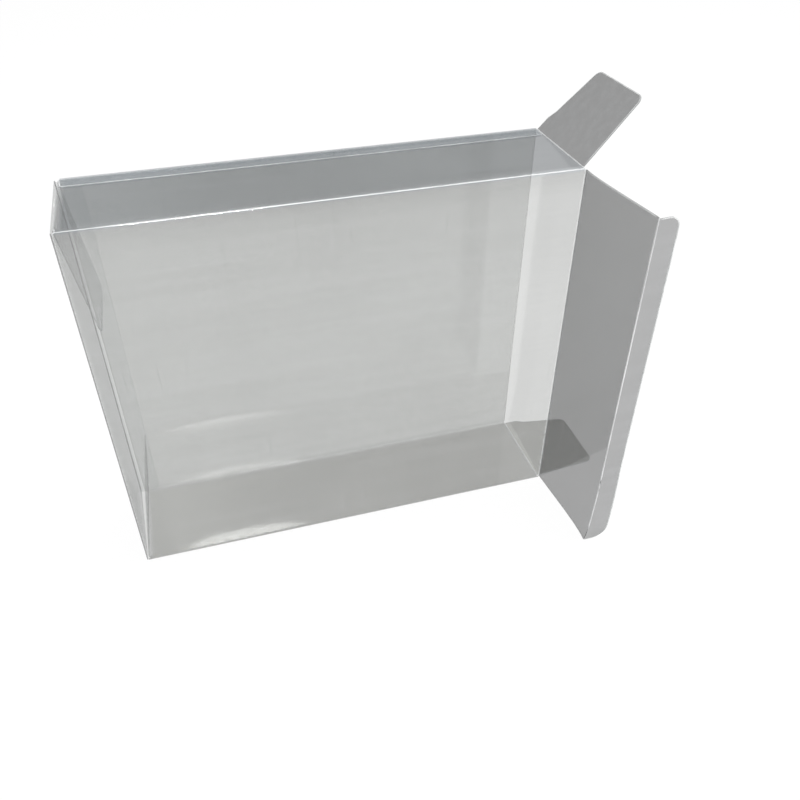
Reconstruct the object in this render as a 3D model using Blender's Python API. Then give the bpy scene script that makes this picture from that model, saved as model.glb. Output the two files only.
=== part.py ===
"""Clear folding protector for a boxed game, standing on its long narrow side with one end open.

The real thing is one die-cut sheet of clear PET film, creased, folded round and glued to itself.
Each solid here is drawn the same way: as a flat blank, which is then folded along its creases.
What stays put is one folded sheet. The lids, tuck tabs and open dust flaps turn on their creases,
so each is a solid of its own, with its origin on its crease.

Frame: +X runs along the box to its open end, +Y to the back and +Z up. The origin is the centre of
the bottom panel's underside.
"""

import math

import bmesh
import bpy
from mathutils import Matrix, Vector

MM = 0.001

# The folded box, over the outside of its film
LENGTH = 250.0 * MM
DEPTH = 59.5 * MM
HEIGHT = 211.5 * MM

# The film, its creases and its glue
FILM = 0.5 * MM
CREASE_RADIUS = 0.6 * MM  # of the film's middle where it is folded
CREASE_FACETS = 5
GLUE = 0.1 * MM  # thickness between the top panel and the glue tab
GLUE_LINE = 5.0 * MM  # width of the glued strip
GLUE_END = 5.0 * MM  # that the glued strip stops short of each end of the box
RUNNING_GAP = 0.3 * MM  # between pieces that turn past each other

# The glue tab, folded from the back panel and glued under the top panel
GLUE_TAB_WIDTH = 10.3 * MM
GLUE_TAB_INSET = 0.6 * MM  # from each end of the box, at the fold
GLUE_TAB_TAPER = 0.9 * MM  # that each end's skew edge loses from fold to free edge
GLUE_TAB_CORNER = 1.6 * MM
SEAM_SETBACK = 0.5 * MM  # of the top panel's cut edge from the back

# The end lids and their tuck tabs
TAB_WIDTH = 12.0 * MM
TAB_CORNER = 6.0 * MM
TAB_INSET = 0.6 * MM  # that each end of the tab is shorter than its lid
TAB_CLEARANCE = 0.25 * MM  # between a closed tab and the back panel
TAB_TUCKED = 98.5  # degrees that a tab is folded when its lid is shut
TAB_RELAXED = 86.0  # degrees that a tab is folded when its lid stands open
OPEN_LID_ANGLE = 174.0  # degrees from shut
CLOSED_LID_ANGLE = 1.2  # degrees from shut: the tucked lid stands a little proud

# The dust flaps, which fold in behind the lids
FLAP_FRONT = 2.3 * MM  # from the front of the box to a flap's front corner
FLAP_TIP_FRONT = 5.0 * MM  # and to its front corner at the tip
FLAP_CLEARANCE = 0.95 * MM  # between a flap's shoulder and a tucked tab
FLAP_SHOULDER = 8.0 * MM  # length of the wide part at a flap's root
FLAP_STEP = 5.0 * MM  # length over which the back edge steps in
FLAP_STEP_DEPTH = 2.4 * MM
FLAP_TIP_BACK = 9.5 * MM  # from the back of the box to a flap's back corner at the tip
FLAP_CORNER = 4.5 * MM
FLAP_STEP_CORNER = 4.0 * MM
OPEN_FLAP_LENGTH = 42.0 * MM
CLOSED_FLAP_LENGTH = 57.0 * MM
TOP_FLAP_TILT = 47.0  # degrees above level
TOP_FLAP_LEAN = 8.0  # degrees that the closed end's flaps lean in from square
BOTTOM_FLAP_LEAN = 10.5

# How the film looks
FILM_TINT = (0.80, 0.82, 0.82)
FILM_ROUGHNESS = 0.08
FILM_ALPHA = 0.3
PET_REFRACTION = 1.57

CORNER_FACETS = 6
SMOOTH_ANGLE = math.radians(30)

# Middle planes of the walls, and the places that follow from the sizes above
HALF_FILM = FILM / 2
CREASE_GAP = RUNNING_GAP + HALF_FILM  # from a panel's end to the crease line of what turns there
END = LENGTH / 2
FRONT = -DEPTH / 2 + HALF_FILM
BACK = DEPTH / 2 - HALF_FILM
BOTTOM = HALF_FILM
TOP = HEIGHT - HALF_FILM
UNDER_TOP = TOP - FILM - GLUE
FLAP_SETBACK = FILM + RUNNING_GAP  # of the panels' ends where the dust flaps turn
LID_FOOT = FILM + RUNNING_GAP
LID_HEAD = HEIGHT - FILM - RUNNING_GAP
TAB_HEAD = HEIGHT - 2 * FILM - GLUE - RUNNING_GAP
LID_REACH = BACK - HALF_FILM - TAB_CLEARANCE - HALF_FILM - FRONT  # from a lid's crease to its tab's
FLAP_BACK = BACK - HALF_FILM - TAB_CLEARANCE - FILM - FLAP_CLEARANCE


class Strip:
    """The middle line of folded film seen edge on: stations of distance, point and outer normal."""

    def __init__(self, start=(0.0, 0.0), heading=0.0):
        self.point = Vector(start)
        self.heading = heading
        self.length = 0.0
        self.stations = []
        self.mark()

    def mark(self):
        """Adds a station, whose normal is to the left of the heading."""
        turned = math.radians(self.heading)
        normal = Vector((-math.sin(turned), math.cos(turned)))
        self.stations.append((self.length, self.point.copy(), normal))

    def run(self, length):
        """Goes straight on, and returns the distances where the run starts and ends."""
        start = self.length
        turned = math.radians(self.heading)
        self.point = self.point + length * Vector((math.cos(turned), math.sin(turned)))
        self.length += length
        self.mark()
        return start, self.length

    def fold(self, turn, radius=CREASE_RADIUS):
        """Turns by so many degrees, to the left if positive, on an arc of the crease's radius."""
        side = math.copysign(1.0, turn)
        step = math.radians(turn) / CREASE_FACETS
        turned = math.radians(self.heading)
        centre = self.point + side * radius * Vector((-math.sin(turned), math.cos(turned)))
        arm = self.point - centre
        start = self.length
        for count in range(1, CREASE_FACETS + 1):
            self.point = centre + Matrix.Rotation(step * count, 2) @ arm
            self.heading += turn / CREASE_FACETS
            self.length = start + radius * abs(step) * count
            self.mark()

    def at(self, distance):
        """The point and the normal at a distance along the strip."""
        for (low, point_a, normal_a), (high, point_b, normal_b) in zip(self.stations, self.stations[1:]):
            if distance <= high or high == self.length:
                share = (distance - low) / (high - low)
                return point_a.lerp(point_b, share), normal_a.lerp(normal_b, share).normalized()


def rounded(corners):
    """An outline through corners of (a, b, radius), with an arc at each corner that has a radius."""
    points = []
    for index, (a, b, radius) in enumerate(corners):
        corner = Vector((a, b))
        if not radius:
            points.append(corner)
            continue
        before = (Vector(corners[index - 1][:2]) - corner).normalized()
        after = (Vector(corners[(index + 1) % len(corners)][:2]) - corner).normalized()
        half = before.angle(after) / 2
        centre = corner + (before + after).normalized() * radius / math.sin(half)
        start = corner + before * radius / math.tan(half) - centre
        end = corner + after * radius / math.tan(half) - centre
        swept = start.angle_signed(end)
        for count in range(CORNER_FACETS + 1):
            points.append(centre + Matrix.Rotation(-swept * count / CORNER_FACETS, 2) @ start)
    return points


def flat_blank(outline, cuts):
    """A flat face of the blank, cut across at the creases. cuts are (axis, distance, test of a face)."""
    blank = bmesh.new()
    blank.faces.new([blank.verts.new((point.x, point.y, 0.0)) for point in outline])
    for axis, distance, wanted in cuts:
        faces = [face for face in blank.faces if wanted(face.calc_center_median())]
        edges = {edge for face in faces for edge in face.edges}
        corners = {corner for face in faces for corner in face.verts}
        place = Vector((0.0, 0.0, 0.0))
        place[axis] = distance
        normal = Vector((0.0, 0.0, 0.0))
        normal[axis] = 1.0
        bmesh.ops.bisect_plane(
            blank, geom=[*corners, *edges, *faces], dist=1e-7, plane_co=place, plane_no=normal
        )
    return blank


def film_object(name, blank, place):
    """Folds a blank into film with two sides and cut edges. place gives a corner's point and normal."""
    blank.verts.index_update()
    count = len(blank.verts)
    outer, inner = [], []
    for corner in blank.verts:
        point, normal = place(corner.co.x, corner.co.y)
        outer.append(point + normal * HALF_FILM)
        inner.append(point - normal * HALF_FILM)
    faces = []
    for face in blank.faces:
        ring = [corner.index for corner in face.verts]
        faces.append(ring)
        faces.append([index + count for index in reversed(ring)])
    for edge in blank.edges:
        if len(edge.link_faces) == 1:
            a, b = (corner.index for corner in edge.verts)
            faces.append([a, b, b + count, a + count])
    mesh = bpy.data.meshes.new(name)
    mesh.from_pydata(outer + inner, [], faces)
    blank.free()
    solid = bmesh.new()
    solid.from_mesh(mesh)
    bmesh.ops.recalc_face_normals(solid, faces=solid.faces)
    solid.to_mesh(mesh)
    solid.free()
    mesh.shade_smooth()
    mesh.set_sharp_from_angle(angle=SMOOTH_ANGLE)
    mesh.materials.append(film_material(name + "_film"))
    piece = bpy.data.objects.new(name, mesh)
    bpy.context.scene.collection.objects.link(piece)
    return piece


def film_material(name):
    """Clear glossy film with a slight tint."""
    material = bpy.data.materials.new(name)
    material.use_nodes = True
    shader = material.node_tree.nodes["Principled BSDF"]
    shader.inputs["Base Color"].default_value = (*FILM_TINT, 1.0)
    shader.inputs["Roughness"].default_value = FILM_ROUGHNESS
    shader.inputs["Metallic"].default_value = 0.0
    shader.inputs["IOR"].default_value = PET_REFRACTION
    shader.inputs["Alpha"].default_value = FILM_ALPHA
    return material


def flap_corners(length):
    """A dust flap's outline as (y, distance from its crease, radius), from front to back."""
    shoulder_end = FLAP_SHOULDER + FLAP_STEP
    return [
        (-DEPTH / 2 + FLAP_FRONT, 0.0, 0.0),
        (-DEPTH / 2 + FLAP_TIP_FRONT, length, FLAP_CORNER),
        (DEPTH / 2 - FLAP_TIP_BACK, length, FLAP_CORNER),
        (FLAP_BACK - FLAP_STEP_DEPTH, shoulder_end, FLAP_STEP_CORNER),
        (FLAP_BACK, FLAP_SHOULDER, FLAP_STEP_CORNER),
        (FLAP_BACK, 0.0, 0.0),
    ]


def sleeve_strip():
    """The walls seen from the open end, from the glue tab's free edge round to the seam."""
    strip = Strip((DEPTH / 2 - GLUE_TAB_WIDTH, UNDER_TOP), 0.0)
    panels = {}
    panels["glue_tab"] = strip.run(BACK - CREASE_RADIUS - strip.point.x)
    strip.fold(-90.0)
    panels["back"] = strip.run(strip.point.y - BOTTOM - CREASE_RADIUS)
    strip.fold(-90.0)
    panels["bottom"] = strip.run(BACK - FRONT - 2 * CREASE_RADIUS)
    strip.fold(-90.0)
    panels["front"] = strip.run(TOP - BOTTOM - 2 * CREASE_RADIUS)
    strip.fold(-90.0)
    panels["top"] = strip.run(DEPTH / 2 - SEAM_SETBACK - strip.point.x)
    return strip, panels


def end_flap_strip(lean):
    """A closed end's dust flap seen from the front, folded in from its panel's end."""
    strip = Strip()
    strip.fold(-(90.0 + lean))
    strip.run(CLOSED_FLAP_LENGTH)
    return strip


def sleeve():
    """The four walls, the glue tab and the closed end's dust flaps: one folded and glued sheet."""
    strip, panels = sleeve_strip()
    flaps = {"top": end_flap_strip(TOP_FLAP_LEAN), "bottom": end_flap_strip(BOTTOM_FLAP_LEAN)}
    flap_line = -(END - CREASE_RADIUS - HALF_FILM)  # where the closed end's flaps start to fold
    short_end = END - FLAP_SETBACK

    def along_bottom(y):
        return panels["bottom"][0] + (BACK - CREASE_RADIUS) - y

    def along_top(y):
        return panels["top"][0] + y - (FRONT + CREASE_RADIUS)

    def lobe(along, order):
        corners = [(along(y), flap_line - out, radius) for y, out, radius in flap_corners(CLOSED_FLAP_LENGTH)]
        return corners[::order]

    tab_start, tab_end = panels["glue_tab"]
    tab_root = END - GLUE_TAB_INSET
    tab_tip = tab_root - GLUE_TAB_TAPER
    outline = rounded([
        (tab_start, -tab_tip, GLUE_TAB_CORNER),
        (tab_start, tab_tip, GLUE_TAB_CORNER),
        (tab_end, tab_root, 0.0),
        (panels["back"][0], END, 0.0),
        (panels["back"][1], END, 0.0),
        (panels["bottom"][0], short_end, 0.0),
        (panels["bottom"][1], short_end, 0.0),
        (panels["front"][0], END, 0.0),
        (panels["front"][1], END, 0.0),
        (panels["top"][0], short_end, 0.0),
        (panels["top"][1], short_end, 0.0),
        (panels["top"][1], flap_line, 0.0),
        *lobe(along_top, -1),
        (panels["top"][0], flap_line, 0.0),
        (panels["front"][1], -END, 0.0),
        (panels["front"][0], -END, 0.0),
        (panels["bottom"][1], flap_line, 0.0),
        *lobe(along_bottom, 1),
        (panels["bottom"][0], flap_line, 0.0),
        (panels["back"][1], -END, 0.0),
        (panels["back"][0], -END, 0.0),
        (tab_end, -tab_root, 0.0),
    ])

    def panel_of(distance):
        return next((name for name in flaps if panels[name][0] < distance < panels[name][1]), None)

    cuts = [(0, station[0], lambda middle: True) for station in strip.stations[1:-1]]
    for name, flap in flaps.items():
        for station in flap.stations[:-1]:
            cuts.append((1, flap_line - station[0], lambda middle, name=name: panel_of(middle.x) == name))

    def place(distance, x):
        point, normal = strip.at(distance)
        outward = Vector((0.0, normal.x, normal.y))
        name = panel_of(distance)
        if name is None or x >= flap_line:
            return Vector((x, point.x, point.y)), outward
        folded, turned = flaps[name].at(flap_line - x)
        at = Vector((flap_line - folded.x, point.x, point.y)) + outward * folded.y
        return at, Vector((-turned.x, 0.0, 0.0)) + outward * turned.y

    piece = film_object("sleeve", flat_blank(outline, cuts), place)
    glue_seam(piece)
    return piece


def glue_seam(piece):
    """Joins the top panel to the glue tab by a strip of glue between them."""
    middle = Vector((0.0, DEPTH / 2 - GLUE_TAB_WIDTH / 2, (UNDER_TOP + TOP) / 2))
    size = (LENGTH - 2 * GLUE_END, GLUE_LINE, GLUE + FILM)
    glue = bmesh.new()
    bmesh.ops.create_cube(glue, matrix=Matrix.Translation(middle) @ Matrix.Diagonal((*size, 1.0)))
    mesh = bpy.data.meshes.new("glue")
    glue.to_mesh(mesh)
    glue.free()
    bar = bpy.data.objects.new("glue", mesh)
    bpy.context.scene.collection.objects.link(bar)
    bar.hide_render = True
    bar.display_type = "WIRE"
    join = piece.modifiers.new("glued seam", "BOOLEAN")
    join.operation = "UNION"
    join.object = bar


def lying(distance, across):
    """Places a flat piece in its own XY plane, with its crease on the Y axis."""
    return Vector((distance, across, 0.0)), Vector((0.0, 0.0, 1.0))


def standing(distance, up):
    """Places a flat piece in its own XZ plane, with its crease on the Z axis."""
    return Vector((distance, 0.0, up)), Vector((0.0, 1.0, 0.0))


def open_flap(name, z, tilt):
    """An open end's dust flap, which turns on its crease at the end of the top or bottom panel."""
    corners = [(out, y, radius) for y, out, radius in flap_corners(OPEN_FLAP_LENGTH)]
    piece = film_object(name, flat_blank(rounded(corners), []), lying)
    piece.location = (END - HALF_FILM, 0.0, z)
    piece.rotation_euler = (0.0, -math.radians(tilt), 0.0)


def end_lid(prefix, side, angle, fold):
    """A lid hinged on the front panel's end, with its tuck tab. side is 1 at the open end, else -1."""
    lid_length = LID_REACH - CREASE_GAP
    lid_outline = rounded([
        (0.0, LID_FOOT, 0.0),
        (lid_length, LID_FOOT, 0.0),
        (lid_length, LID_HEAD, 0.0),
        (0.0, LID_HEAD, 0.0),
    ])
    tab_outline = rounded([
        (0.0, LID_FOOT + TAB_INSET, 0.0),
        (TAB_WIDTH, LID_FOOT + TAB_INSET, TAB_CORNER),
        (TAB_WIDTH, TAB_HEAD, TAB_CORNER),
        (0.0, TAB_HEAD, 0.0),
    ])
    lid = film_object(prefix + "_lid", flat_blank(lid_outline, []), standing)
    lid.location = (side * (END + CREASE_GAP), FRONT, 0.0)
    lid.rotation_euler = (0.0, 0.0, math.radians(90.0 - side * angle))
    tab = film_object(prefix + "_tuck_tab", flat_blank(tab_outline, []), standing)
    tab.parent = lid
    tab.location = (LID_REACH, 0.0, 0.0)
    tab.rotation_euler = (0.0, 0.0, side * math.radians(fold))


def clear_scene():
    for thing in list(bpy.data.objects):
        bpy.data.objects.remove(thing, do_unlink=True)


def build():
    clear_scene()
    sleeve()
    end_lid("open_end", 1, OPEN_LID_ANGLE, TAB_RELAXED)
    end_lid("closed_end", -1, CLOSED_LID_ANGLE, TAB_TUCKED)
    open_flap("open_end_top_dust_flap", TOP, TOP_FLAP_TILT)
    open_flap("open_end_bottom_dust_flap", BOTTOM, 0.0)


build()
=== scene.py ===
"""Clear folding protector for a boxed game: the film, its creases and its cut edges.

Each flat CAD node is replaced by the same sheet in finer film, drawn as a flat blank and folded, with
a slight bow in its panels, whitened creases, and cut edges with a strip of painted shade and a strip of
painted highlight. A crease that a lid, tab or flap turns on is a thin round bead along the joint's
axis, so that it looks the same at every angle.
"""

import math
from collections import namedtuple

import bmesh
import bpy
from mathutils import Matrix, Vector


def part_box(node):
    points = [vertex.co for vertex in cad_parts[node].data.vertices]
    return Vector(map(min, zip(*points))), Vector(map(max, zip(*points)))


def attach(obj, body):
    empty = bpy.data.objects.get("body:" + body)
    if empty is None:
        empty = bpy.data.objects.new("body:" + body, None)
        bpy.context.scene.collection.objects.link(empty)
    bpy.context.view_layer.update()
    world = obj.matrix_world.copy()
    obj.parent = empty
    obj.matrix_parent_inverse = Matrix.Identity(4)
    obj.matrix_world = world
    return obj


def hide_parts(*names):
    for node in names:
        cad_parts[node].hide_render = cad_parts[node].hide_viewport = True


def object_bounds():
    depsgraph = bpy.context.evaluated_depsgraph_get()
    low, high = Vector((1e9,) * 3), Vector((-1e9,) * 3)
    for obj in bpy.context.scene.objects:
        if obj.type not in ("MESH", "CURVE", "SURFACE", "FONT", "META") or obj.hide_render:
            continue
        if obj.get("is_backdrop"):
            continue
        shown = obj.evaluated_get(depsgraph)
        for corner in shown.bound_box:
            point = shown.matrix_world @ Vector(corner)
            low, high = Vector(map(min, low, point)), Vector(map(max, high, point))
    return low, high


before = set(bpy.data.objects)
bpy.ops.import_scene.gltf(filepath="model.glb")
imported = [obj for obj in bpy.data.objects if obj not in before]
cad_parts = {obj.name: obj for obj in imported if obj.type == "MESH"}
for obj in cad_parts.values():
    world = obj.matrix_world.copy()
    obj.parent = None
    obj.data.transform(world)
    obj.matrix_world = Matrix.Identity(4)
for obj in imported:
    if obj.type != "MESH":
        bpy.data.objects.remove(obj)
CAD_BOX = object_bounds()

MM = 0.001

# The photograph's view, from the camera fitted to the box's corners
CAMERA_AT = Vector((-69.96, -364.44, 364.32)) * MM
CAMERA_FORWARD = Vector((0.22257, 0.75015, -0.62268))
CAMERA_UP = Vector((0.17462, 0.59770, 0.78247))
SENSOR_WIDTH = 36.0
LENS = 35.48

# The film and its creases
FILM = 0.5 * MM
HALF_FILM = FILM / 2
CREASE_RADIUS = 0.6 * MM  # of the film's middle where it is folded
CREASE_FACETS = 8
CREASE_CORE = 0.33  # middle share of a fold, whitened by the scoring
EDGE_BAND = 0.65 * MM  # width of the dark strip along a cut edge, which is painted shade
RIM_BAND = 0.5 * MM  # and of the light strip inside it, which is a painted highlight
BEAD_RADIUS = 0.3 * MM  # of the creases that turn
TAB_BEAD_RADIUS = 0.32 * MM
RIDGE_RADIUS = 0.27 * MM  # of the ridge over the glue tab's edge
GLUE = 0.1 * MM
RUNNING_GAP = 0.3 * MM
SWING_GAP = 0.2 * MM  # at a wall's end beside a bead, for film that is turned right back
CELL = 6.0 * MM  # of the grid that lets a panel bow
CORNER_FACETS = 8
SMOOTH_ANGLE = math.radians(30)
BEAD_SIDES = 12
BEAD_SMOOTH_ANGLE = math.radians(50)

# The box, from the frame. The panels' places are those of their film's middle
SLEEVE_LOW, SLEEVE_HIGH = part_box("sleeve")
END = SLEEVE_HIGH.x
DEPTH = SLEEVE_HIGH.y - SLEEVE_LOW.y
HEIGHT = SLEEVE_HIGH.z
FRONT = -DEPTH / 2 + HALF_FILM
BACK = DEPTH / 2 - HALF_FILM
BOTTOM = HALF_FILM
TOP = HEIGHT - HALF_FILM
UNDER_TOP = TOP - FILM - GLUE  # of the glue tab

# The glue tab and the seam
GLUE_TAB_WIDTH = 10.3 * MM
GLUE_TAB_INSET = 0.6 * MM
GLUE_TAB_TAPER = 0.9 * MM
GLUE_TAB_CORNER = 1.6 * MM
GLUE_TAB_SHADE = 1.0 * MM  # width over which the top panel's look changes there
SEAM_SETBACK = 0.5 * MM
RIDGE_SETBACK = 1.2 * MM  # of the ridge's ends from the back
RIDGE_STEP = 4.0 * MM

# The lids and tuck tabs
LID_FOOT = FILM + RUNNING_GAP
LID_HEAD = HEIGHT - FILM - RUNNING_GAP
TAB_HEAD = HEIGHT - 2 * FILM - GLUE - RUNNING_GAP
TAB_CLEARANCE = 0.25 * MM
LID_REACH = BACK - HALF_FILM - TAB_CLEARANCE - HALF_FILM - FRONT
LID_SETBACK = 0.1 * MM  # of its free edge from the tab's crease
TAB_WIDTH = 12.0 * MM
TAB_CORNER = 6.0 * MM
TAB_INSET = 0.6 * MM
TAB_STEP = 0.5 * MM  # in which a tab is followed out from its crease
TAB_TUCKED = 98.5
OPEN_LID_ANGLE = 174.0
OPEN_LID_BOW = 0.9 * MM  # at the lid's head
OPEN_LID_FOOT_ANGLE = 1.4  # degrees that its foot is turned further
OPEN_LID_FOOT = 45.0 * MM  # height up to which it is
OPEN_CURL = 2.0 * MM  # at the foot of the open tab's crease
OPEN_CURL_HEIGHT = 15.0 * MM
OPEN_TAB_SAG = 0.7 * MM  # how far the curl brings the tab's foot down
OPEN_TAB_FOLD = 88.0
OPEN_TAB_LOW_FOLD = 78.0  # where the tab has sprung back
OPEN_TAB_LOW = 62.0 * MM  # height up to which it has
OPEN_TAB_EASE = 16.0  # degrees that the fold loses at its foot, for its first millimetres
OPEN_TAB_EASE_REACH = 5.0 * MM
OPEN_TAB_FOOT_FOLD = 92.0  # the fold beyond those
OPEN_CREASE_FOOT = 9.0 * MM  # height where the open tab's crease fades out
CLOSED_LID_ANGLE = 1.2
CLOSED_LID_TWIST = 0.3  # degrees that its foot stands prouder than its middle

# Distances in mm where finer cuts let a lid and its tab curl
LID_CUTS = (46, 48, 50, 52, 53, 54, 55, 56, 57)
TAB_CUTS = (1, 2, 3, 4, 5, 8, 10)
FOOT_CUTS = (2, 3, 4, 5, 7, 9, 11)

# Rings along the beads of the creases that turn
LID_BEAD_STEPS = 50
TAB_BEAD_STEPS = 70
FLAP_BEAD_STEPS = 14

# The dust flaps
FLAP_FRONT = 2.3 * MM
FLAP_TIP_FRONT = 5.0 * MM
FLAP_BACK = BACK - HALF_FILM - TAB_CLEARANCE - FILM - 0.95 * MM
FLAP_SHOULDER = 8.0 * MM
FLAP_STEP = 5.0 * MM
FLAP_STEP_DEPTH = 2.4 * MM
FLAP_TIP_BACK = 9.5 * MM
FLAP_CORNER = 4.5 * MM
FLAP_STEP_CORNER = 4.0 * MM
OPEN_FLAP_LENGTH = 42.0 * MM
CLOSED_FLAP_LENGTH = 57.0 * MM
TOP_FLAP_TILT = 47.0
TOP_FLAP_LEAN = 8.0
BOTTOM_FLAP_LEAN = 10.5

# How far the panels bow between their creases
FRONT_BOW = 0.6 * MM
TOP_BOW = 0.4 * MM
BACK_FLARE = 0.12  # slope outwards of the back panel at its crease with the bottom
BACK_FLARE_HEIGHT = 14.0 * MM
BACK_FLARE_FADE = 120.0 * MM  # height over which it goes back to flat
BOTTOM_ARCH = 0.0625  # slope upwards of the bottom panel at its crease with the front
BOTTOM_ARCH_DEPTH = 16.0 * MM
BOTTOM_ARCH_FADE = 38.0 * MM
FLARE_MIDDLE = -68.0 * MM  # of both, along the box
FLARE_LENGTH = 108.0 * MM
FLARE_CUTS = 8
FLARE_CUT_STEP = 2.5 * MM

# The share of light that a face of each part lets through: partly the film's own clarity, and partly painted
# shade, as the same film is set darker on some parts than on others
BACK_CLARITY_AND_SHADE = 0.846
FRONT_CLARITY_AND_SHADE = 0.845
BOTTOM_CLARITY_AND_SHADE = 0.79
TOP_CLARITY_AND_SHADE = 0.697
OPEN_LID_CLARITY_AND_SHADE = 0.581
OPEN_TAB_CLARITY_AND_SHADE = 0.643
OPEN_TOP_FLAP_CLARITY_AND_SHADE = 0.536
OPEN_BOTTOM_FLAP_CLARITY_AND_SHADE = 0.74
CLOSED_LID_CLARITY_AND_SHADE = 0.875
CLOSED_TAB_CLARITY_AND_SHADE = 0.89
CLOSED_TOP_FLAP_CLARITY_AND_SHADE = 0.935
CLOSED_BOTTOM_FLAP_CLARITY_AND_SHADE = 0.88

# The share that haze scatters
WALL_HAZE = 0.012
TOP_HAZE = 0.015
LOOSE_HAZE = 0.015
HAZE_COLOR = (0.82, 0.83, 0.85, 1.0)

# Gloss: its roughness, and the share of light that film mirrors face on and adds when edge on
GLOSS_ROUGHNESS = 0.09
MIRROR_FACE_ON = 0.062
MIRROR_EDGE_ON = 0.1
EDGE_ON_POWER = 6.0
FILM_IOR = 1.57

# The studio's light
STUDIO_LIGHT = 0.65
FLOOR_WHITE = 0.92
FLOOR_SIZE = 8.0
FLOOR_DROP = 0.02 * MM
FILM_LAYERS = 32  # that a ray may pass through

# How a clarity, with its painted shade, is shared out between red, green and blue
WALL_TINT = (0.996, 1.0, 0.994)
BOTTOM_TINT = (0.999, 1.0, 0.984)
TOP_TINT = (0.981, 1.0, 1.012)
LOOSE_TINT = (0.997, 1.0, 1.0)

# Places in a piece's list of materials
FILM_PART, CREASE_PART, EDGE_PART, RIM_PART = range(4)

# What film is like at a point: the share of light that a face lets through, which is partly painted shade,
# and its tint, the share that haze scatters, and how far a crease is whitened by wear there, and a cut edge
# covered with painted shade and a painted highlight
Look = namedtuple("Look", "clarity tint milk burr")

# An opaque surface that covers film in patches: whitening where a crease is worn, and painted shade and a
# painted highlight along a cut edge
CoverOfWearAndEdgeLight = namedtuple("CoverOfWearAndEdgeLight", "color roughness cover_low cover_high scale stretch")

# The long creases at the back of the top, and then round by the back, the bottom and the front. The one
# between the bottom and the front is set darkest and least whitened, as painted shade
CREASE_LOOKS = (
    Look(0.75, TOP_TINT, 0.02, 0.5),
    Look(0.80, WALL_TINT, 0.02, 0.25),
    Look(0.45, BOTTOM_TINT, 0.01, 0.05),
    Look(0.75, TOP_TINT, 0.02, 0.7),
)


# Materials


def new_material(name):
    """An empty node tree with its output, as (material, nodes, links, output)."""
    material = bpy.data.materials.new(name)
    material.use_nodes = True
    nodes = material.node_tree.nodes
    nodes.clear()
    output = nodes.new("ShaderNodeOutputMaterial")
    return material, nodes, material.node_tree.links, output


def math_node(nodes, links, operation, a, b=None, clamp=False):
    """A Math node's output. a and b are sockets or numbers."""
    node = nodes.new("ShaderNodeMath")
    node.operation = operation
    node.use_clamp = clamp
    for socket, value in zip(node.inputs, (a, b)):
        if isinstance(value, bpy.types.NodeSocket):
            links.new(value, socket)
        elif value is not None:
            socket.default_value = value
    return node.outputs[0]


def smooth_range(nodes, links, value, low, high, to_low=0.0, to_high=1.0):
    """A socket's value eased from one range to another."""
    node = nodes.new("ShaderNodeMapRange")
    node.interpolation_type = "SMOOTHSTEP"
    links.new(value, node.inputs["Value"])
    node.inputs["From Min"].default_value = low
    node.inputs["From Max"].default_value = high
    node.inputs["To Min"].default_value = to_low
    node.inputs["To Max"].default_value = to_high
    return node.outputs["Result"]


def noise_value(nodes, links, scale, stretch=(1.0, 1.0, 1.0), detail=0.0):
    """Noise in the object's own space, drawn out along the axes whose stretch is small."""
    place = nodes.new("ShaderNodeTexCoord")
    mapping = nodes.new("ShaderNodeMapping")
    mapping.inputs["Scale"].default_value = stretch
    links.new(place.outputs["Object"], mapping.inputs["Vector"])
    texture = nodes.new("ShaderNodeTexNoise")
    texture.inputs["Scale"].default_value = scale
    texture.inputs["Detail"].default_value = detail
    links.new(mapping.outputs["Vector"], texture.inputs["Vector"])
    return texture.outputs["Fac"]


def attribute_output(nodes, name, output):
    node = nodes.new("ShaderNodeAttribute")
    node.attribute_name = name
    return node.outputs[output]


def mix_shaders(nodes, links, share, first, second):
    mix = nodes.new("ShaderNodeMixShader")
    links.new(share, mix.inputs["Fac"])
    links.new(first, mix.inputs[1])
    links.new(second, mix.inputs[2])
    return mix.outputs["Shader"]


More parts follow.
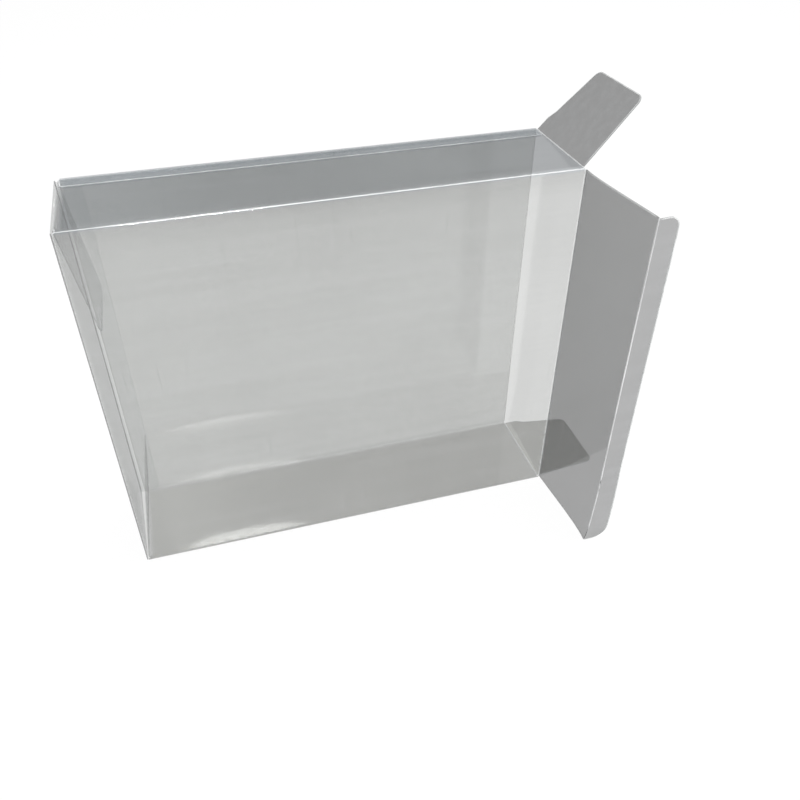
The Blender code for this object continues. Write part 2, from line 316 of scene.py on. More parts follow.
def film_shader(nodes, links):
    """Clear glossy film, as its points' attributes say."""
    layer = nodes.new("ShaderNodeLayerWeight")
    layer.inputs["Blend"].default_value = 0.5
    facing = layer.outputs["Facing"]
    smudge = noise_value(nodes, links, 11.0, (1.0, 1.0, 0.6), 2.0)

    # Film seen at a slant is set darker: partly the longer path through the film, partly painted shade
    slant_shade = smooth_range(nodes, links, facing, 0.15, 0.65, 1.0, 0.93)
    uneven = smooth_range(nodes, links, smudge, 0.25, 0.75, 0.985, 1.01)
    dimmed = nodes.new("ShaderNodeVectorMath")
    dimmed.operation = "SCALE"
    links.new(attribute_output(nodes, "through", "Color"), dimmed.inputs[0])
    links.new(math_node(nodes, links, "MULTIPLY", slant_shade, uneven), dimmed.inputs["Scale"])
    see_through = nodes.new("ShaderNodeBsdfTransparent")
    links.new(dimmed.outputs["Vector"], see_through.inputs["Color"])

    streaks = noise_value(nodes, links, 260.0, (0.03, 1.0, 1.0), 1.0)
    streaks = smooth_range(nodes, links, streaks, 0.35, 0.75, 0.4, 1.8)
    milk = math_node(nodes, links, "MULTIPLY", attribute_output(nodes, "milk", "Fac"), streaks)
    hairs = noise_value(nodes, links, 190.0, (4.0, 4.0, 0.15), 0.0)
    hairs = smooth_range(nodes, links, hairs, 0.74, 0.86, 0.0, 0.06)
    milk = math_node(nodes, links, "ADD", milk, hairs, clamp=True)
    haze = nodes.new("ShaderNodeBsdfDiffuse")
    haze.inputs["Color"].default_value = HAZE_COLOR
    body = mix_shaders(nodes, links, milk, see_through.outputs[0], haze.outputs[0])

    gloss = nodes.new("ShaderNodeBsdfAnisotropic")
    gloss.inputs["Color"].default_value = (1.0, 1.0, 1.0, 1.0)
    gloss.inputs["Roughness"].default_value = GLOSS_ROUGHNESS
    bump = nodes.new("ShaderNodeBump")
    bump.inputs["Strength"].default_value = 0.15
    bump.inputs["Distance"].default_value = 0.001
    links.new(smudge, bump.inputs["Height"])
    links.new(bump.outputs["Normal"], gloss.inputs["Normal"])
    edge_on = math_node(nodes, links, "POWER", facing, EDGE_ON_POWER)
    mirror = math_node(nodes, links, "MULTIPLY", edge_on, MIRROR_EDGE_ON)
    mirror = math_node(nodes, links, "ADD", mirror, MIRROR_FACE_ON, clamp=True)
    return mix_shaders(nodes, links, mirror, body, gloss.outputs[0])


def film_material(name, wear_and_edge_light=None):
    """Film, or film covered in patches as far as its points' cover says: whitening on worn creases, and
    painted shade and a painted highlight on cut edges.
    """
    material, nodes, links, output = new_material(name)
    surface = film_shader(nodes, links)
    if wear_and_edge_light:
        body = nodes.new("ShaderNodeBsdfPrincipled")
        body.inputs["Base Color"].default_value = (*wear_and_edge_light.color, 1.0)
        body.inputs["Roughness"].default_value = wear_and_edge_light.roughness
        body.inputs["IOR"].default_value = FILM_IOR
        patches = noise_value(nodes, links, wear_and_edge_light.scale, wear_and_edge_light.stretch, 1.0)
        cover = smooth_range(nodes, links, patches, 0.3, 0.7, wear_and_edge_light.cover_low, wear_and_edge_light.cover_high)
        cover = math_node(nodes, links, "MULTIPLY", cover, attribute_output(nodes, "burr", "Fac"))
        surface = mix_shaders(nodes, links, cover, surface, body.outputs[0])
    links.new(surface, output.inputs["Surface"])
    return material


# Folded film


class Strip:
    """The middle line of folded film seen edge on: stations of distance, point and outer normal."""

    def __init__(self, start=(0.0, 0.0), heading=0.0):
        self.point = Vector(start)
        self.heading = heading
        self.length = 0.0
        self.stations = []
        self.folds = []
        self.creases = []
        self.mark()

    def mark(self):
        turned = math.radians(self.heading)
        normal = Vector((-math.sin(turned), math.cos(turned)))
        self.stations.append((self.length, self.point.copy(), normal))

    def run(self, length):
        """Goes straight on, and returns the distances where the run starts and ends."""
        start = self.length
        turned = math.radians(self.heading)
        self.point = self.point + length * Vector((math.cos(turned), math.sin(turned)))
        self.length += length
        self.mark()
        return start, self.length

    def fold(self, turn, radius=CREASE_RADIUS):
        """Turns by so many degrees, to the left if positive."""
        side = math.copysign(1.0, turn)
        step = math.radians(turn) / CREASE_FACETS
        turned = math.radians(self.heading)
        centre = self.point + side * radius * Vector((-math.sin(turned), math.cos(turned)))
        arm = self.point - centre
        start = self.length
        for count in range(1, CREASE_FACETS + 1):
            self.point = centre + Matrix.Rotation(step * count, 2) @ arm
            self.heading += turn / CREASE_FACETS
            self.length = start + radius * abs(step) * count
            self.mark()
        self.folds.append((start, self.length))
        middle = (start + self.length) / 2
        reach = (self.length - start) / 2 * CREASE_CORE
        self.creases.append((middle - reach, middle + reach))

    def at(self, distance):
        """The point and the normal at a distance along the strip."""
        for (low, point_a, normal_a), (high, point_b, normal_b) in zip(self.stations, self.stations[1:]):
            if distance <= high or high == self.length:
                share = (distance - low) / (high - low)
                return point_a.lerp(point_b, share), normal_a.lerp(normal_b, share).normalized()


def rounded(corners):
    """An outline through corners of (a, b, radius), with an arc at each corner that has a radius."""
    points = []
    for index, (a, b, radius) in enumerate(corners):
        corner = Vector((a, b))
        if not radius:
            points.append(corner)
            continue
        before = (Vector(corners[index - 1][:2]) - corner).normalized()
        after = (Vector(corners[(index + 1) % len(corners)][:2]) - corner).normalized()
        half = before.angle(after) / 2
        centre = corner + (before + after).normalized() * radius / math.sin(half)
        start = corner + before * radius / math.tan(half) - centre
        end = corner + after * radius / math.tan(half) - centre
        swept = start.angle_signed(end)
        for count in range(CORNER_FACETS + 1):
            points.append(centre + Matrix.Rotation(-swept * count / CORNER_FACETS, 2) @ start)
    return points


def cut_across(blank, axis, distance, wanted=None):
    """Cuts a blank's faces along a line where the axis has that value."""
    faces = [face for face in blank.faces if wanted is None or wanted(face.calc_center_median())]
    edges = {edge for face in faces for edge in face.edges}
    corners = {corner for face in faces for corner in face.verts}
    place = Vector((0.0, 0.0, 0.0))
    place[axis] = distance
    normal = Vector((0.0, 0.0, 0.0))
    normal[axis] = 1.0
    bmesh.ops.bisect_plane(
        blank, geom=[*corners, *edges, *faces], dist=1e-7, plane_co=place, plane_no=normal
    )


def flat_blank(outline, cuts=(), creases=()):
    """A flat sheet in small cells, with a strip of painted shade and a strip of painted highlight along its
    cut edge.

    cuts are (axis, distance, test of a face's middle or None), and creases are such tests.
    """
    blank = bmesh.new()
    blank.faces.new([blank.verts.new((point.x, point.y, 0.0)) for point in outline])
    for width, part in ((EDGE_BAND, EDGE_PART), (RIM_BAND, RIM_PART)):
        inside = [face for face in blank.faces if face.material_index == FILM_PART]
        band = bmesh.ops.inset_region(
            blank, faces=inside, thickness=width, use_boundary=True, use_even_offset=True
        )
        for face in band["faces"]:
            face.material_index = part
    for axis in (0, 1):
        low = min(point[axis] for point in outline)
        high = max(point[axis] for point in outline)
        cells = max(1, round((high - low) / CELL))
        for count in range(1, cells):
            cut_across(blank, axis, low + (high - low) * count / cells)
    for axis, distance, wanted in cuts:
        cut_across(blank, axis, distance, wanted)
    for face in blank.faces:
        middle = face.calc_center_median()
        if face.material_index == FILM_PART and any(test(middle) for test in creases):
            face.material_index = CREASE_PART
    return blank


def set_looks(mesh, looks):
    """Stores each point's look for the materials."""
    through = mesh.attributes.new("through", "FLOAT_COLOR", "POINT")
    colors = [(*(look.clarity * share for share in look.tint), 1.0) for look in looks]
    through.data.foreach_set("color", [value for color in colors for value in color])
    for label in ("milk", "burr"):
        layer = mesh.attributes.new(label, "FLOAT", "POINT")
        layer.data.foreach_set("value", [getattr(look, label) for look in looks])


def film_object(name, blank, place, look_at, materials):
    """Folds a blank into film with two sides and cut edges.

    place gives a blank corner's point and normal, and look_at its look.
    """
    blank.verts.index_update()
    count = len(blank.verts)
    outer, inner, looks = [], [], []
    for corner in blank.verts:
        point, normal = place(corner.co.x, corner.co.y)
        outer.append(point + normal * HALF_FILM)
        inner.append(point - normal * HALF_FILM)
        looks.append(look_at(corner.co.x, corner.co.y))
    faces, parts = [], []
    for face in blank.faces:
        ring = [corner.index for corner in face.verts]
        faces += [ring, [index + count for index in reversed(ring)]]
        parts += [face.material_index] * 2
    for edge in blank.edges:
        if len(edge.link_faces) == 1:
            a, b = (corner.index for corner in edge.verts)
            faces.append([a, b, b + count, a + count])
            parts.append(EDGE_PART)
    blank.free()
    mesh = bpy.data.meshes.new(name)
    mesh.from_pydata(outer + inner, [], faces)
    for material in materials:
        mesh.materials.append(material)
    mesh.polygons.foreach_set("material_index", parts)
    solid = bmesh.new()
    solid.from_mesh(mesh)
    bmesh.ops.recalc_face_normals(solid, faces=solid.faces)
    solid.to_mesh(mesh)
    solid.free()
    set_looks(mesh, looks * 2)
    mesh.shade_smooth()
    mesh.set_sharp_from_angle(angle=SMOOTH_ANGLE)
    piece = bpy.data.objects.new(name, mesh)
    bpy.context.scene.collection.objects.link(piece)
    return piece


def dress(piece, node, body):
    """Shows a piece in a CAD node's place."""
    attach(piece, body)
    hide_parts(node)


def bead(name, line, radius, body, material, look_at):
    """A thin round ridge along a line, whose look is that at each of its points."""
    corners, faces, looks = [], [], []
    for ring, middle in enumerate(line):
        ahead = line[min(ring + 1, len(line) - 1)] - line[max(ring - 1, 0)]
        turn = ahead.to_track_quat("Z", "Y").to_matrix()
        for side in range(BEAD_SIDES):
            angle = 2 * math.pi * side / BEAD_SIDES
            corners.append(middle + turn @ Vector((math.cos(angle), math.sin(angle), 0.0)) * radius)
        looks += [look_at(middle)] * BEAD_SIDES
    rings = len(line) - 1
    for ring in range(rings):
        start = ring * BEAD_SIDES
        for side in range(BEAD_SIDES):
            a, b = start + side, start + (side + 1) % BEAD_SIDES
            faces.append([a, b, b + BEAD_SIDES, a + BEAD_SIDES])
    faces += [list(range(BEAD_SIDES))[::-1], list(range(rings * BEAD_SIDES, len(corners)))]
    mesh = bpy.data.meshes.new(name)
    mesh.from_pydata(corners, [], faces)
    mesh.materials.append(material)
    set_looks(mesh, looks)
    mesh.shade_smooth()
    mesh.set_sharp_from_angle(angle=BEAD_SMOOTH_ANGLE)
    ridge = bpy.data.objects.new(name, mesh)
    bpy.context.scene.collection.objects.link(ridge)
    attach(ridge, body)


def between(low, high, steps):
    """Evenly spaced values from low to high."""
    return [low + (high - low) * step / steps for step in range(steps + 1)]


def ease(value):
    """0 below 0, 1 above 1, and a smooth step between."""
    value = min(1.0, max(0.0, value))
    return value * value * (3.0 - 2.0 * value)


# The sleeve


def flap_corners(length):
    """A dust flap's outline as (y, distance from its crease, radius), from front to back."""
    return [
        (-DEPTH / 2 + FLAP_FRONT, 0.0, 0.0),
        (-DEPTH / 2 + FLAP_TIP_FRONT, length, FLAP_CORNER),
        (DEPTH / 2 - FLAP_TIP_BACK, length, FLAP_CORNER),
        (FLAP_BACK - FLAP_STEP_DEPTH, FLAP_SHOULDER + FLAP_STEP, FLAP_STEP_CORNER),
        (FLAP_BACK, FLAP_SHOULDER, FLAP_STEP_CORNER),
        (FLAP_BACK, 0.0, 0.0),
    ]


def sleeve_strip():
    """The walls seen from the open end, from the glue tab's free edge round to the seam."""
    strip = Strip((DEPTH / 2 - GLUE_TAB_WIDTH, UNDER_TOP), 0.0)
    panels = {}
    panels["glue_tab"] = strip.run(BACK - CREASE_RADIUS - strip.point.x)
    strip.fold(-90.0)
    panels["back"] = strip.run(strip.point.y - BOTTOM - CREASE_RADIUS)
    strip.fold(-90.0)
    panels["bottom"] = strip.run(BACK - FRONT - 2 * CREASE_RADIUS)
    strip.fold(-90.0)
    panels["front"] = strip.run(TOP - BOTTOM - 2 * CREASE_RADIUS)
    strip.fold(-90.0)
    panels["top"] = strip.run(DEPTH / 2 - SEAM_SETBACK - strip.point.x)
    return strip, panels


def end_flap_strip(lean):
    """A closed end's dust flap seen from the front, folded in from its panel's end."""
    strip = Strip()
    strip.fold(-(90.0 + lean))
    strip.run(CLOSED_FLAP_LENGTH)
    return strip


def swell(x):
    """1 at the middle of the panels' bent stretch, falling to 0 at its ends."""
    return max(0.0, 1.0 - (2.0 * (x - FLARE_MIDDLE) / FLARE_LENGTH) ** 2)


def lean_out(distance, slope, depth):
    """How far film has moved that starts at a slope and straightens within a depth."""
    near = min(distance, depth)
    return slope * (near - near * near / (2.0 * depth))


def wall_shift(point, panel):
    """How far a wall bows at a point."""
    along = 1.0 - (point.x / END) ** 4
    across = math.sin(math.pi * min(1.0, max(0.0, (point.y - FRONT) / (BACK - FRONT))))
    up = math.sin(math.pi * min(1.0, max(0.0, (point.z - BOTTOM) / (TOP - BOTTOM)))) ** 0.7
    if panel == "top" or panel == "glue_tab":
        return Vector((0.0, 0.0, -TOP_BOW * along * across))
    if panel == "front":
        return Vector((0.0, -FRONT_BOW * along * up, 0.0))
    if panel == "back":
        height = max(0.0, point.z - BOTTOM - CREASE_RADIUS)
        out = lean_out(height, BACK_FLARE * swell(point.x), BACK_FLARE_HEIGHT)
        return Vector((0.0, out * (1.0 - ease((height - BACK_FLARE_HEIGHT) / BACK_FLARE_FADE)), 0.0))
    if panel == "bottom":
        inward = max(0.0, point.y - FRONT - CREASE_RADIUS)
        rise = lean_out(inward, BOTTOM_ARCH * swell(point.x), BOTTOM_ARCH_DEPTH)
        return Vector((0.0, 0.0, rise * (1.0 - ease((inward - BOTTOM_ARCH_DEPTH) / BOTTOM_ARCH_FADE))))
    return Vector((0.0, 0.0, 0.0))


def wall_look(panel, x, y, from_start):
    """A wall's look. from_start is the share of the panel's width."""
    # Clarity here is partly painted shade, dimmed towards the top of the back, the top of the front, and away
    # from the closed end on the bottom and the top
    right = (x + END) / (2 * END)
    if panel == "glue_tab":
        return Look(0.96, TOP_TINT, 0.08, 0.1)
    if panel == "back":
        dim = 0.015 * ease((0.4 - from_start) / 0.4)
        return Look(BACK_CLARITY_AND_SHADE - dim, WALL_TINT, WALL_HAZE, 0.1 + 0.6 * ease(right / 0.2))
    if panel == "bottom":
        dim = 0.075 * ease((right - 0.05) / 0.4) + 0.012 * ease((right - 0.55) / 0.35)
        return Look(BOTTOM_CLARITY_AND_SHADE - dim, BOTTOM_TINT, WALL_HAZE, 0.8)
    if panel == "front":
        dim = 0.015 * ease((from_start - 0.6) / 0.3) + 0.055 * ease((from_start - 0.945) / 0.055)
        return Look(FRONT_CLARITY_AND_SHADE - dim, WALL_TINT, WALL_HAZE, 0.2 + 0.5 * ease(right / 0.2))
    over_glue = ease((y - (DEPTH / 2 - GLUE_TAB_WIDTH)) / GLUE_TAB_SHADE)
    clarity = TOP_CLARITY_AND_SHADE - 0.05 * ease(right / 0.3) + 0.13 * over_glue
    return Look(clarity, TOP_TINT, TOP_HAZE, 0.8 - 0.6 * over_glue)


def closed_flap_look(name, out, y):
    """A closed end's dust flap. The top one is dim at its root, and front edges carry the most painted edge
    shade and highlight.
    """
    tip = ease(out / CLOSED_FLAP_LENGTH)
    front = ease((DEPTH / 4 - y) / (DEPTH / 2))
    if name == "top":
        return Look(CLOSED_TOP_FLAP_CLARITY_AND_SHADE + 0.045 * tip, LOOSE_TINT, 0.01, 0.15 + 0.85 * front)
    return Look(CLOSED_BOTTOM_FLAP_CLARITY_AND_SHADE, LOOSE_TINT, 0.01, 0.15 + 0.34 * front)


def glue_ridge(material):
    """The ridge that the glue tab's edge presses into the top panel."""
    edge = DEPTH / 2 - GLUE_TAB_WIDTH
    tip = END - GLUE_TAB_INSET - GLUE_TAB_TAPER
    corners = [
        (-END + GLUE_TAB_INSET, DEPTH / 2 - RIDGE_SETBACK, 0.0),
        (-tip, edge, GLUE_TAB_CORNER),
        (tip, edge, GLUE_TAB_CORNER),
        (END - GLUE_TAB_INSET, DEPTH / 2 - RIDGE_SETBACK, 0.0),
    ]
    line = []
    route = rounded(corners)
    for a, b in zip(route, route[1:]):
        steps = max(1, round((b - a).length / RIDGE_STEP))
        line += [a.lerp(b, share) for share in between(0.0, 1.0, steps)[:-1]]
    line = [Vector((point.x, point.y, TOP)) for point in line]
    line = [point + wall_shift(point, "top") for point in line]
    look = Look(0.7, TOP_TINT, 0.02, 1.0)
    bead("glue_tab_ridge", line, RIDGE_RADIUS, "sleeve", material, lambda point: look)


def make_sleeve(materials):
    """The four walls, the glue tab and the closed end's dust flaps: one folded and glued sheet."""
    strip, panels = sleeve_strip()
    flaps = {"top": end_flap_strip(TOP_FLAP_LEAN), "bottom": end_flap_strip(BOTTOM_FLAP_LEAN)}
    flap_line = -(END - CREASE_RADIUS - HALF_FILM)
    short_end = END - HALF_FILM - BEAD_RADIUS - SWING_GAP
    long_end = END + HALF_FILM - SWING_GAP

    def along_bottom(y):
        return panels["bottom"][0] + (BACK - CREASE_RADIUS) - y

    def along_top(y):
        return panels["top"][0] + y - (FRONT + CREASE_RADIUS)

    def lobe(along, order):
        corners = [(along(y), flap_line - out, radius) for y, out, radius in flap_corners(CLOSED_FLAP_LENGTH)]
        return corners[::order]

    tab_start, tab_end = panels["glue_tab"]
    tab_root = END - GLUE_TAB_INSET
    tab_tip = tab_root - GLUE_TAB_TAPER
    outline = rounded([
        (tab_start, -tab_tip, GLUE_TAB_CORNER),
        (tab_start, tab_tip, GLUE_TAB_CORNER),
        (tab_end, tab_root, 0.0),
        (panels["back"][0], END, 0.0),
        (panels["back"][1], END, 0.0),
        (panels["bottom"][0], short_end, 0.0),
        (panels["bottom"][1], short_end, 0.0),
        (panels["front"][0], long_end, 0.0),
        (panels["front"][1], long_end, 0.0),
        (panels["top"][0], short_end, 0.0),
        (panels["top"][1], short_end, 0.0),
        (panels["top"][1], flap_line, 0.0),
        *lobe(along_top, -1),
        (panels["top"][0], flap_line, 0.0),
        (panels["front"][1], -long_end, 0.0),
        (panels["front"][0], -long_end, 0.0),
        (panels["bottom"][1], flap_line, 0.0),
        *lobe(along_bottom, 1),
        (panels["bottom"][0], flap_line, 0.0),
        (panels["back"][1], -END, 0.0),
        (panels["back"][0], -END, 0.0),
        (tab_end, -tab_root, 0.0),
    ])

    def flap_of(distance):
        return next((name for name in flaps if panels[name][0] < distance < panels[name][1]), None)

    def wall_of(distance):
        for name, (start, end) in panels.items():
            if distance <= end + 1e-7:
                return name, max(0.0, (distance - start) / (end - start))
        return "top", 1.0

    cuts, creases = [], []
    for low, high in strip.creases:
        creases.append(lambda middle, low=low, high=high: low < middle.x < high)
    cuts += [(0, station[0], None) for station in strip.stations[1:-1]]
    for step in range(1, FLARE_CUTS + 1):
        cuts.append((0, panels["back"][1] - step * FLARE_CUT_STEP, None))
        cuts.append((0, panels["bottom"][1] - step * FLARE_CUT_STEP, None))
    cuts.append((0, along_top(DEPTH / 2 - GLUE_TAB_WIDTH), None))
    cuts.append((0, along_top(DEPTH / 2 - GLUE_TAB_WIDTH + GLUE_TAB_SHADE), None))
    for name, flap in flaps.items():
        for station in flap.stations[:-1]:
            cuts.append((1, flap_line - station[0], lambda middle, name=name: flap_of(middle.x) == name))
        near, far = (flap_line - distance for distance in flap.creases[0])
        creases.append(
            lambda middle, name=name, near=near, far=far: flap_of(middle.x) == name and far < middle.y < near
        )

    def place(distance, x):
        point, normal = strip.at(distance)
        outward = Vector((0.0, normal.x, normal.y))
        name = flap_of(distance)
        if name is None or x >= flap_line:
            at = Vector((x, point.x, point.y))
            return at + wall_shift(at, wall_of(distance)[0]), outward
        folded, turned = flaps[name].at(flap_line - x)
        at = Vector((flap_line - folded.x, point.x, point.y)) + outward * folded.y
        return at, Vector((-turned.x, 0.0, 0.0)) + outward * turned.y

    def look_at(distance, x):
        y = strip.at(distance)[0].x
        if flap_of(distance) and x < flap_line:
            return closed_flap_look(flap_of(distance), flap_line - x, y)
        for (low, high), look in zip(strip.folds, CREASE_LOOKS):
            if low < distance < high:
                return look
        name, share = wall_of(distance)
        return wall_look(name, x, y, share)

    piece = film_object("clear_sleeve", flat_blank(outline, cuts, creases), place, look_at, materials)
    dress(piece, "sleeve", "sleeve")
    glue_ridge(materials[CREASE_PART])


# The lids, tabs and flaps


def turned_out(heading):
    """A direction in plan and the normal to its left."""
    turned = math.radians(heading)
    out = Vector((math.cos(turned), math.sin(turned), 0.0))
    return out, Vector((-out.y, out.x, 0.0))


def fine_cuts(axis, places):
    return [(axis, place * MM, None) for place in places]


class OpenEnd:
    """How the open end's lid and tab bend, and what their film is like."""

    prefix = "open_end"
    side = 1
    hinge_look = Look(0.8, LOOSE_TINT, 0.01, 0.45)

    def lid_heading(self, z):
        return 90.0 - OPEN_LID_ANGLE - OPEN_LID_FOOT_ANGLE * (1.0 - ease(z / OPEN_LID_FOOT))

    def curl(self, z):
        return max(0.0, 1.0 - z / OPEN_CURL_HEIGHT) ** 2

    def lid_shift(self, share, z):
        bow = OPEN_LID_BOW * math.sin(math.pi * min(1.0, share) ** 0.58) * (z / HEIGHT) ** 2
        return -bow - OPEN_CURL * share ** 6 * self.curl(z)

    def tab_fold(self, distance, z):
        """The fold that the tab has kept at a distance from its crease."""
        fold = OPEN_TAB_FOLD - (OPEN_TAB_FOLD - OPEN_TAB_LOW_FOLD) * (1.0 - ease(z / OPEN_TAB_LOW))
        fold += (OPEN_TAB_FOOT_FOLD - OPEN_TAB_LOW_FOLD) * self.curl(z)
        return fold - OPEN_TAB_EASE * self.curl(z) * (1.0 - ease(distance / OPEN_TAB_EASE_REACH))

    def tab_drop(self, z):
        return OPEN_TAB_SAG * self.curl(z)

    def lid_look(self, distance, z):
        clarity = OPEN_LID_CLARITY_AND_SHADE + 0.02 * (1.0 - ease(z / (75.0 * MM)))
        at_crease = ease((distance / LID_REACH - 0.97) / 0.01)
        at_hinge = ease((0.03 - distance / LID_REACH) / 0.01)
        shown = ease((z - OPEN_CREASE_FOOT) / (4.0 * MM)) * ease((HEIGHT - z) / (3.0 * MM))
        burr = 0.9 - 0.7 * at_hinge - at_crease * (0.9 - 0.55 * shown)
        return Look(clarity, LOOSE_TINT, LOOSE_HAZE, burr)

    def tab_look(self, distance, z):
        return Look(OPEN_TAB_CLARITY_AND_SHADE, LOOSE_TINT, LOOSE_HAZE, 0.9 * ease(distance / (3.0 * MM)))

    def crease_look(self, point):
        shown = ease((point.z - OPEN_CREASE_FOOT) / (3.0 * MM))
        return Look(0.75, LOOSE_TINT, 0.01, 0.05 + 0.6 * shown)


class ClosedEnd:
    """The same for the closed end."""

    prefix = "closed_end"
    side = -1
    hinge_look = Look(0.6, LOOSE_TINT, 0.01, 0.1)

    def lid_heading(self, z):
        return 90.0 + CLOSED_LID_ANGLE + CLOSED_LID_TWIST * (1.0 - 2.0 * z / HEIGHT)

    def lid_shift(self, share, z):
        return 0.0

    def tab_fold(self, distance, z):
        return TAB_TUCKED

    def tab_drop(self, z):
        return 0.0

    def lid_look(self, distance, z):
        return Look(CLOSED_LID_CLARITY_AND_SHADE, LOOSE_TINT, 0.008, 0.25 * ease(distance / (4.0 * MM)))

    def tab_look(self, distance, z):
        clarity = CLOSED_TAB_CLARITY_AND_SHADE + 0.10 * ease((distance - 1.0 * MM) / (2.0 * MM))
        return Look(clarity, LOOSE_TINT, 0.004, 0.1)

    def crease_look(self, point):
        return Look(0.72, LOOSE_TINT, 0.01, 0.12)


def make_lid(end, materials):
    """A lid, its tuck tab and their creases, bent as an end says."""
    body = end.prefix.replace("_end", "")
    hinge = Vector((end.side * (END + RUNNING_GAP + HALF_FILM), FRONT, 0.0))
    lid_length = LID_REACH - LID_SETBACK
    lid_outline = rounded([
        (0.0, LID_FOOT, 0.0),
        (lid_length, LID_FOOT, 0.0),
        (lid_length, LID_HEAD, 0.0),
        (0.0, LID_HEAD, 0.0),
    ])

    def place_lid(distance, z):
        out, normal = turned_out(end.lid_heading(z))
        lift = end.lid_shift(distance / LID_REACH, z)
        return hinge + out * distance + normal * lift + Vector((0.0, 0.0, z)), normal

    cuts = fine_cuts(0, LID_CUTS) + fine_cuts(1, FOOT_CUTS)
    lid = film_object(
        "clear_" + end.prefix + "_lid", flat_blank(lid_outline, cuts), place_lid, end.lid_look, materials
    )
    dress(lid, end.prefix + "_lid", body + "_lid")

    def crease_at(z):
        return place_lid(LID_REACH, z)[0]

    tab_outline = rounded([
        (0.0, LID_FOOT + TAB_INSET, 0.0),
        (TAB_WIDTH, LID_FOOT + TAB_INSET, TAB_CORNER),
        (TAB_WIDTH, TAB_HEAD, TAB_CORNER),
        (0.0, TAB_HEAD, 0.0),
    ])

    def place_tab(distance, z):
        """Follows the tab out from its crease in short steps, as its fold changes on the way."""
        at = crease_at(z) - Vector((0.0, 0.0, end.tab_drop(z)))
        steps = max(1, math.ceil(distance / TAB_STEP))
        for step in range(steps):
            middle = distance * (step + 0.5) / steps
            out, _ = turned_out(end.lid_heading(z) + end.side * end.tab_fold(middle, z))
            at += out * distance / steps
        return at, turned_out(end.lid_heading(z) + end.side * end.tab_fold(distance, z))[1]

    cuts = fine_cuts(0, TAB_CUTS) + fine_cuts(1, FOOT_CUTS)
    tab = film_object(
        "clear_" + end.prefix + "_tuck_tab", flat_blank(tab_outline, cuts), place_tab, end.tab_look, materials
    )
    dress(tab, end.prefix + "_tuck_tab", body + "_tab")
    whitened = materials[CREASE_PART]
    heights = between(LID_FOOT, LID_HEAD, LID_BEAD_STEPS)
    hinge_line = [hinge + Vector((0.0, 0.0, z)) for z in heights]
    bead(
        end.prefix + "_lid_crease", hinge_line, BEAD_RADIUS, "sleeve", whitened,
        lambda point: end.hinge_look,
    )
    heights = between(LID_FOOT + TAB_INSET, LID_HEAD, TAB_BEAD_STEPS)
    crease_line = [crease_at(z) for z in heights]
    bead(
        end.prefix + "_tab_crease", crease_line, TAB_BEAD_RADIUS, body + "_lid", whitened,
        end.crease_look,
    )


def make_open_flap(name, body, z, tilt, clarity, tint, materials):
    """An open end's dust flap and its crease."""
    hinge = Vector((END - HALF_FILM, 0.0, z))
    turned = math.radians(tilt)
    out = Vector((math.cos(turned), 0.0, math.sin(turned)))
    normal = Vector((-math.sin(turned), 0.0, math.cos(turned)))
    corners = [(away, y, radius) for y, away, radius in flap_corners(OPEN_FLAP_LENGTH)]

    def place(distance, y):
        return hinge + out * distance + Vector((0.0, y, 0.0)), normal

    def look_at(distance, y):
        return Look(clarity, tint, 0.02, ease(distance / (2.0 * MM)))

    flap = film_object("clear_" + name, flat_blank(rounded(corners)), place, look_at, materials)
    dress(flap, name, body)
    front, back = -DEPTH / 2 + FLAP_FRONT, FLAP_BACK
    line = [hinge + Vector((0.0, y, 0.0)) for y in between(front, back, FLAP_BEAD_STEPS)]
    crease_look = Look(0.8, tint, 0.01, 0.8)
    bead(name + "_crease", line, BEAD_RADIUS, "sleeve", materials[CREASE_PART], lambda point: crease_look)


def make_object():
    whitened = CoverOfWearAndEdgeLight((0.94, 0.95, 0.96), 0.25, 0.55, 0.85, 160.0, (0.3, 0.3, 0.3))
    # The dark strip and face of a cut edge are painted shade, and the light strip inside it is a painted
    # highlight
    painted_edge_shade = CoverOfWearAndEdgeLight((0.26, 0.27, 0.27), 0.3, 0.35, 0.55, 200.0, (1.0, 1.0, 1.0))
    painted_edge_highlight = CoverOfWearAndEdgeLight((0.95, 0.96, 0.96), 0.2, 0.3, 0.45, 200.0, (1.0, 1.0, 1.0))
    materials = [
        film_material("clear_film_sheet"),
        film_material("whitened_crease", whitened),
        film_material("cut_edge_painted_shade", painted_edge_shade),
        film_material("edge_rim_painted_highlight", painted_edge_highlight),
    ]
    make_sleeve(materials)
    make_lid(OpenEnd(), materials)
    make_lid(ClosedEnd(), materials)
    make_open_flap(
        "open_end_top_dust_flap", "top_flap", TOP, TOP_FLAP_TILT,
        OPEN_TOP_FLAP_CLARITY_AND_SHADE, LOOSE_TINT, materials,
    )
    make_open_flap(
        "open_end_bottom_dust_flap", "bottom_flap", BOTTOM, 0.0,
        OPEN_BOTTOM_FLAP_CLARITY_AND_SHADE, BOTTOM_TINT, materials,
    )


# The studio


def seen_rays(nodes, links):
    """1 for rays that show the background: from the camera, and by gloss or glass."""
    path = nodes.new("ShaderNodeLightPath")
    seen = math_node(
        nodes, links, "ADD", path.outputs["Is Camera Ray"], path.outputs["Is Glossy Ray"], clamp=True
    )
    return math_node(nodes, links, "ADD", seen, path.outputs["Is Transmission Ray"], clamp=True)


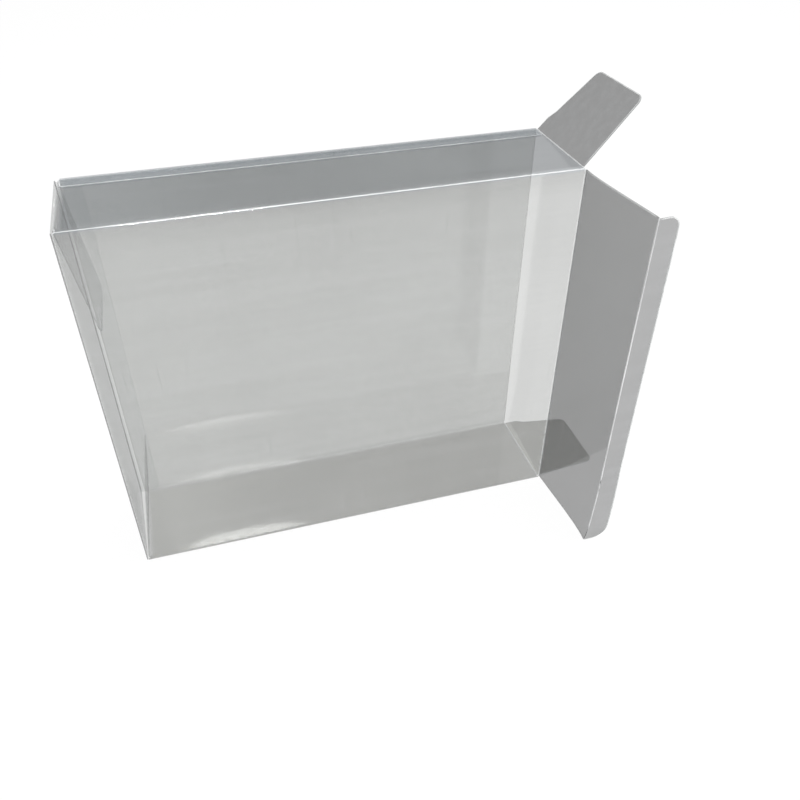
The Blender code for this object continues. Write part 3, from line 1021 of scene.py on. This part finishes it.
def make_world():
    """White to look at, and a soft grey light otherwise."""
    world = bpy.data.worlds.new("studio")
    bpy.context.scene.world = world
    world.use_nodes = True
    nodes, links = world.node_tree.nodes, world.node_tree.links
    nodes.clear()
    output = nodes.new("ShaderNodeOutputWorld")
    light = nodes.new("ShaderNodeBackground")
    light.inputs["Color"].default_value = (1.0, 1.0, 1.0, 1.0)
    light.inputs["Strength"].default_value = STUDIO_LIGHT
    white = nodes.new("ShaderNodeBackground")
    white.inputs["Color"].default_value = (1.0, 1.0, 1.0, 1.0)
    white.inputs["Strength"].default_value = 1.0
    share = seen_rays(nodes, links)
    links.new(mix_shaders(nodes, links, share, light.outputs[0], white.outputs[0]), output.inputs["Surface"])


def make_floor():
    """A white floor that keeps a faint shadow."""
    bpy.ops.mesh.primitive_plane_add(size=FLOOR_SIZE, location=(0.0, 0.0, -FLOOR_DROP))
    floor = bpy.context.object
    floor.name = "floor"
    material, nodes, links, output = new_material("floor_white")
    paper = nodes.new("ShaderNodeBsdfDiffuse")
    paper.inputs["Color"].default_value = (0.95, 0.95, 0.95, 1.0)
    white = nodes.new("ShaderNodeEmission")
    white.inputs["Strength"].default_value = 1.0
    share = math_node(nodes, links, "MULTIPLY", seen_rays(nodes, links), FLOOR_WHITE)
    links.new(mix_shaders(nodes, links, share, paper.outputs[0], white.outputs[0]), output.inputs["Surface"])
    floor.data.materials.append(material)
    floor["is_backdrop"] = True


def make_lamp(name, at, target, width, height, power):
    """A soft lamp. Its bright panel is what glossy film mirrors."""
    data = bpy.data.lights.new(name, "AREA")
    data.shape = "RECTANGLE"
    data.size = width
    data.size_y = height
    data.energy = power
    lamp = bpy.data.objects.new(name, data)
    lamp.location = at
    lamp.rotation_euler = (Vector(target) - Vector(at)).to_track_quat("-Z", "Y").to_euler()
    bpy.context.scene.collection.objects.link(lamp)


def make_camera():
    """The photograph's view."""
    data = bpy.data.cameras.new("camera")
    data.sensor_width = SENSOR_WIDTH
    data.lens = LENS
    data.clip_start = 0.01
    camera = bpy.data.objects.new("camera", data)
    right = CAMERA_FORWARD.cross(CAMERA_UP).normalized()
    up = right.cross(CAMERA_FORWARD).normalized()
    turn = Matrix((right, up, -CAMERA_FORWARD.normalized())).transposed()
    camera.matrix_world = Matrix.Translation(CAMERA_AT) @ turn.to_4x4()
    bpy.context.scene.collection.objects.link(camera)
    bpy.context.scene.camera = camera


def make_studio():
    make_world()
    make_floor()
    make_lamp("key", (-0.035, -1.58, 1.01), (-0.062, 0.029, 0.003), 0.40, 0.13, 25.0)
    make_lamp("rear", (-0.04, 1.03, 1.45), (-0.06, -0.02, 0.0), 0.36, 0.22, 2.5)
    make_lamp("top", (0.7, 0.3, 2.0), (0.0, 0.0, 0.1), 1.2, 1.2, 20.0)
    make_camera()
    bpy.context.scene.view_settings.view_transform = "Standard"
    bpy.context.scene.cycles.transparent_max_bounces = FILM_LAYERS


make_object()
make_studio()
boxes = {"cad": CAD_BOX, "visual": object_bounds()}
{name: [list(corner) for corner in box] for name, box in boxes.items()}
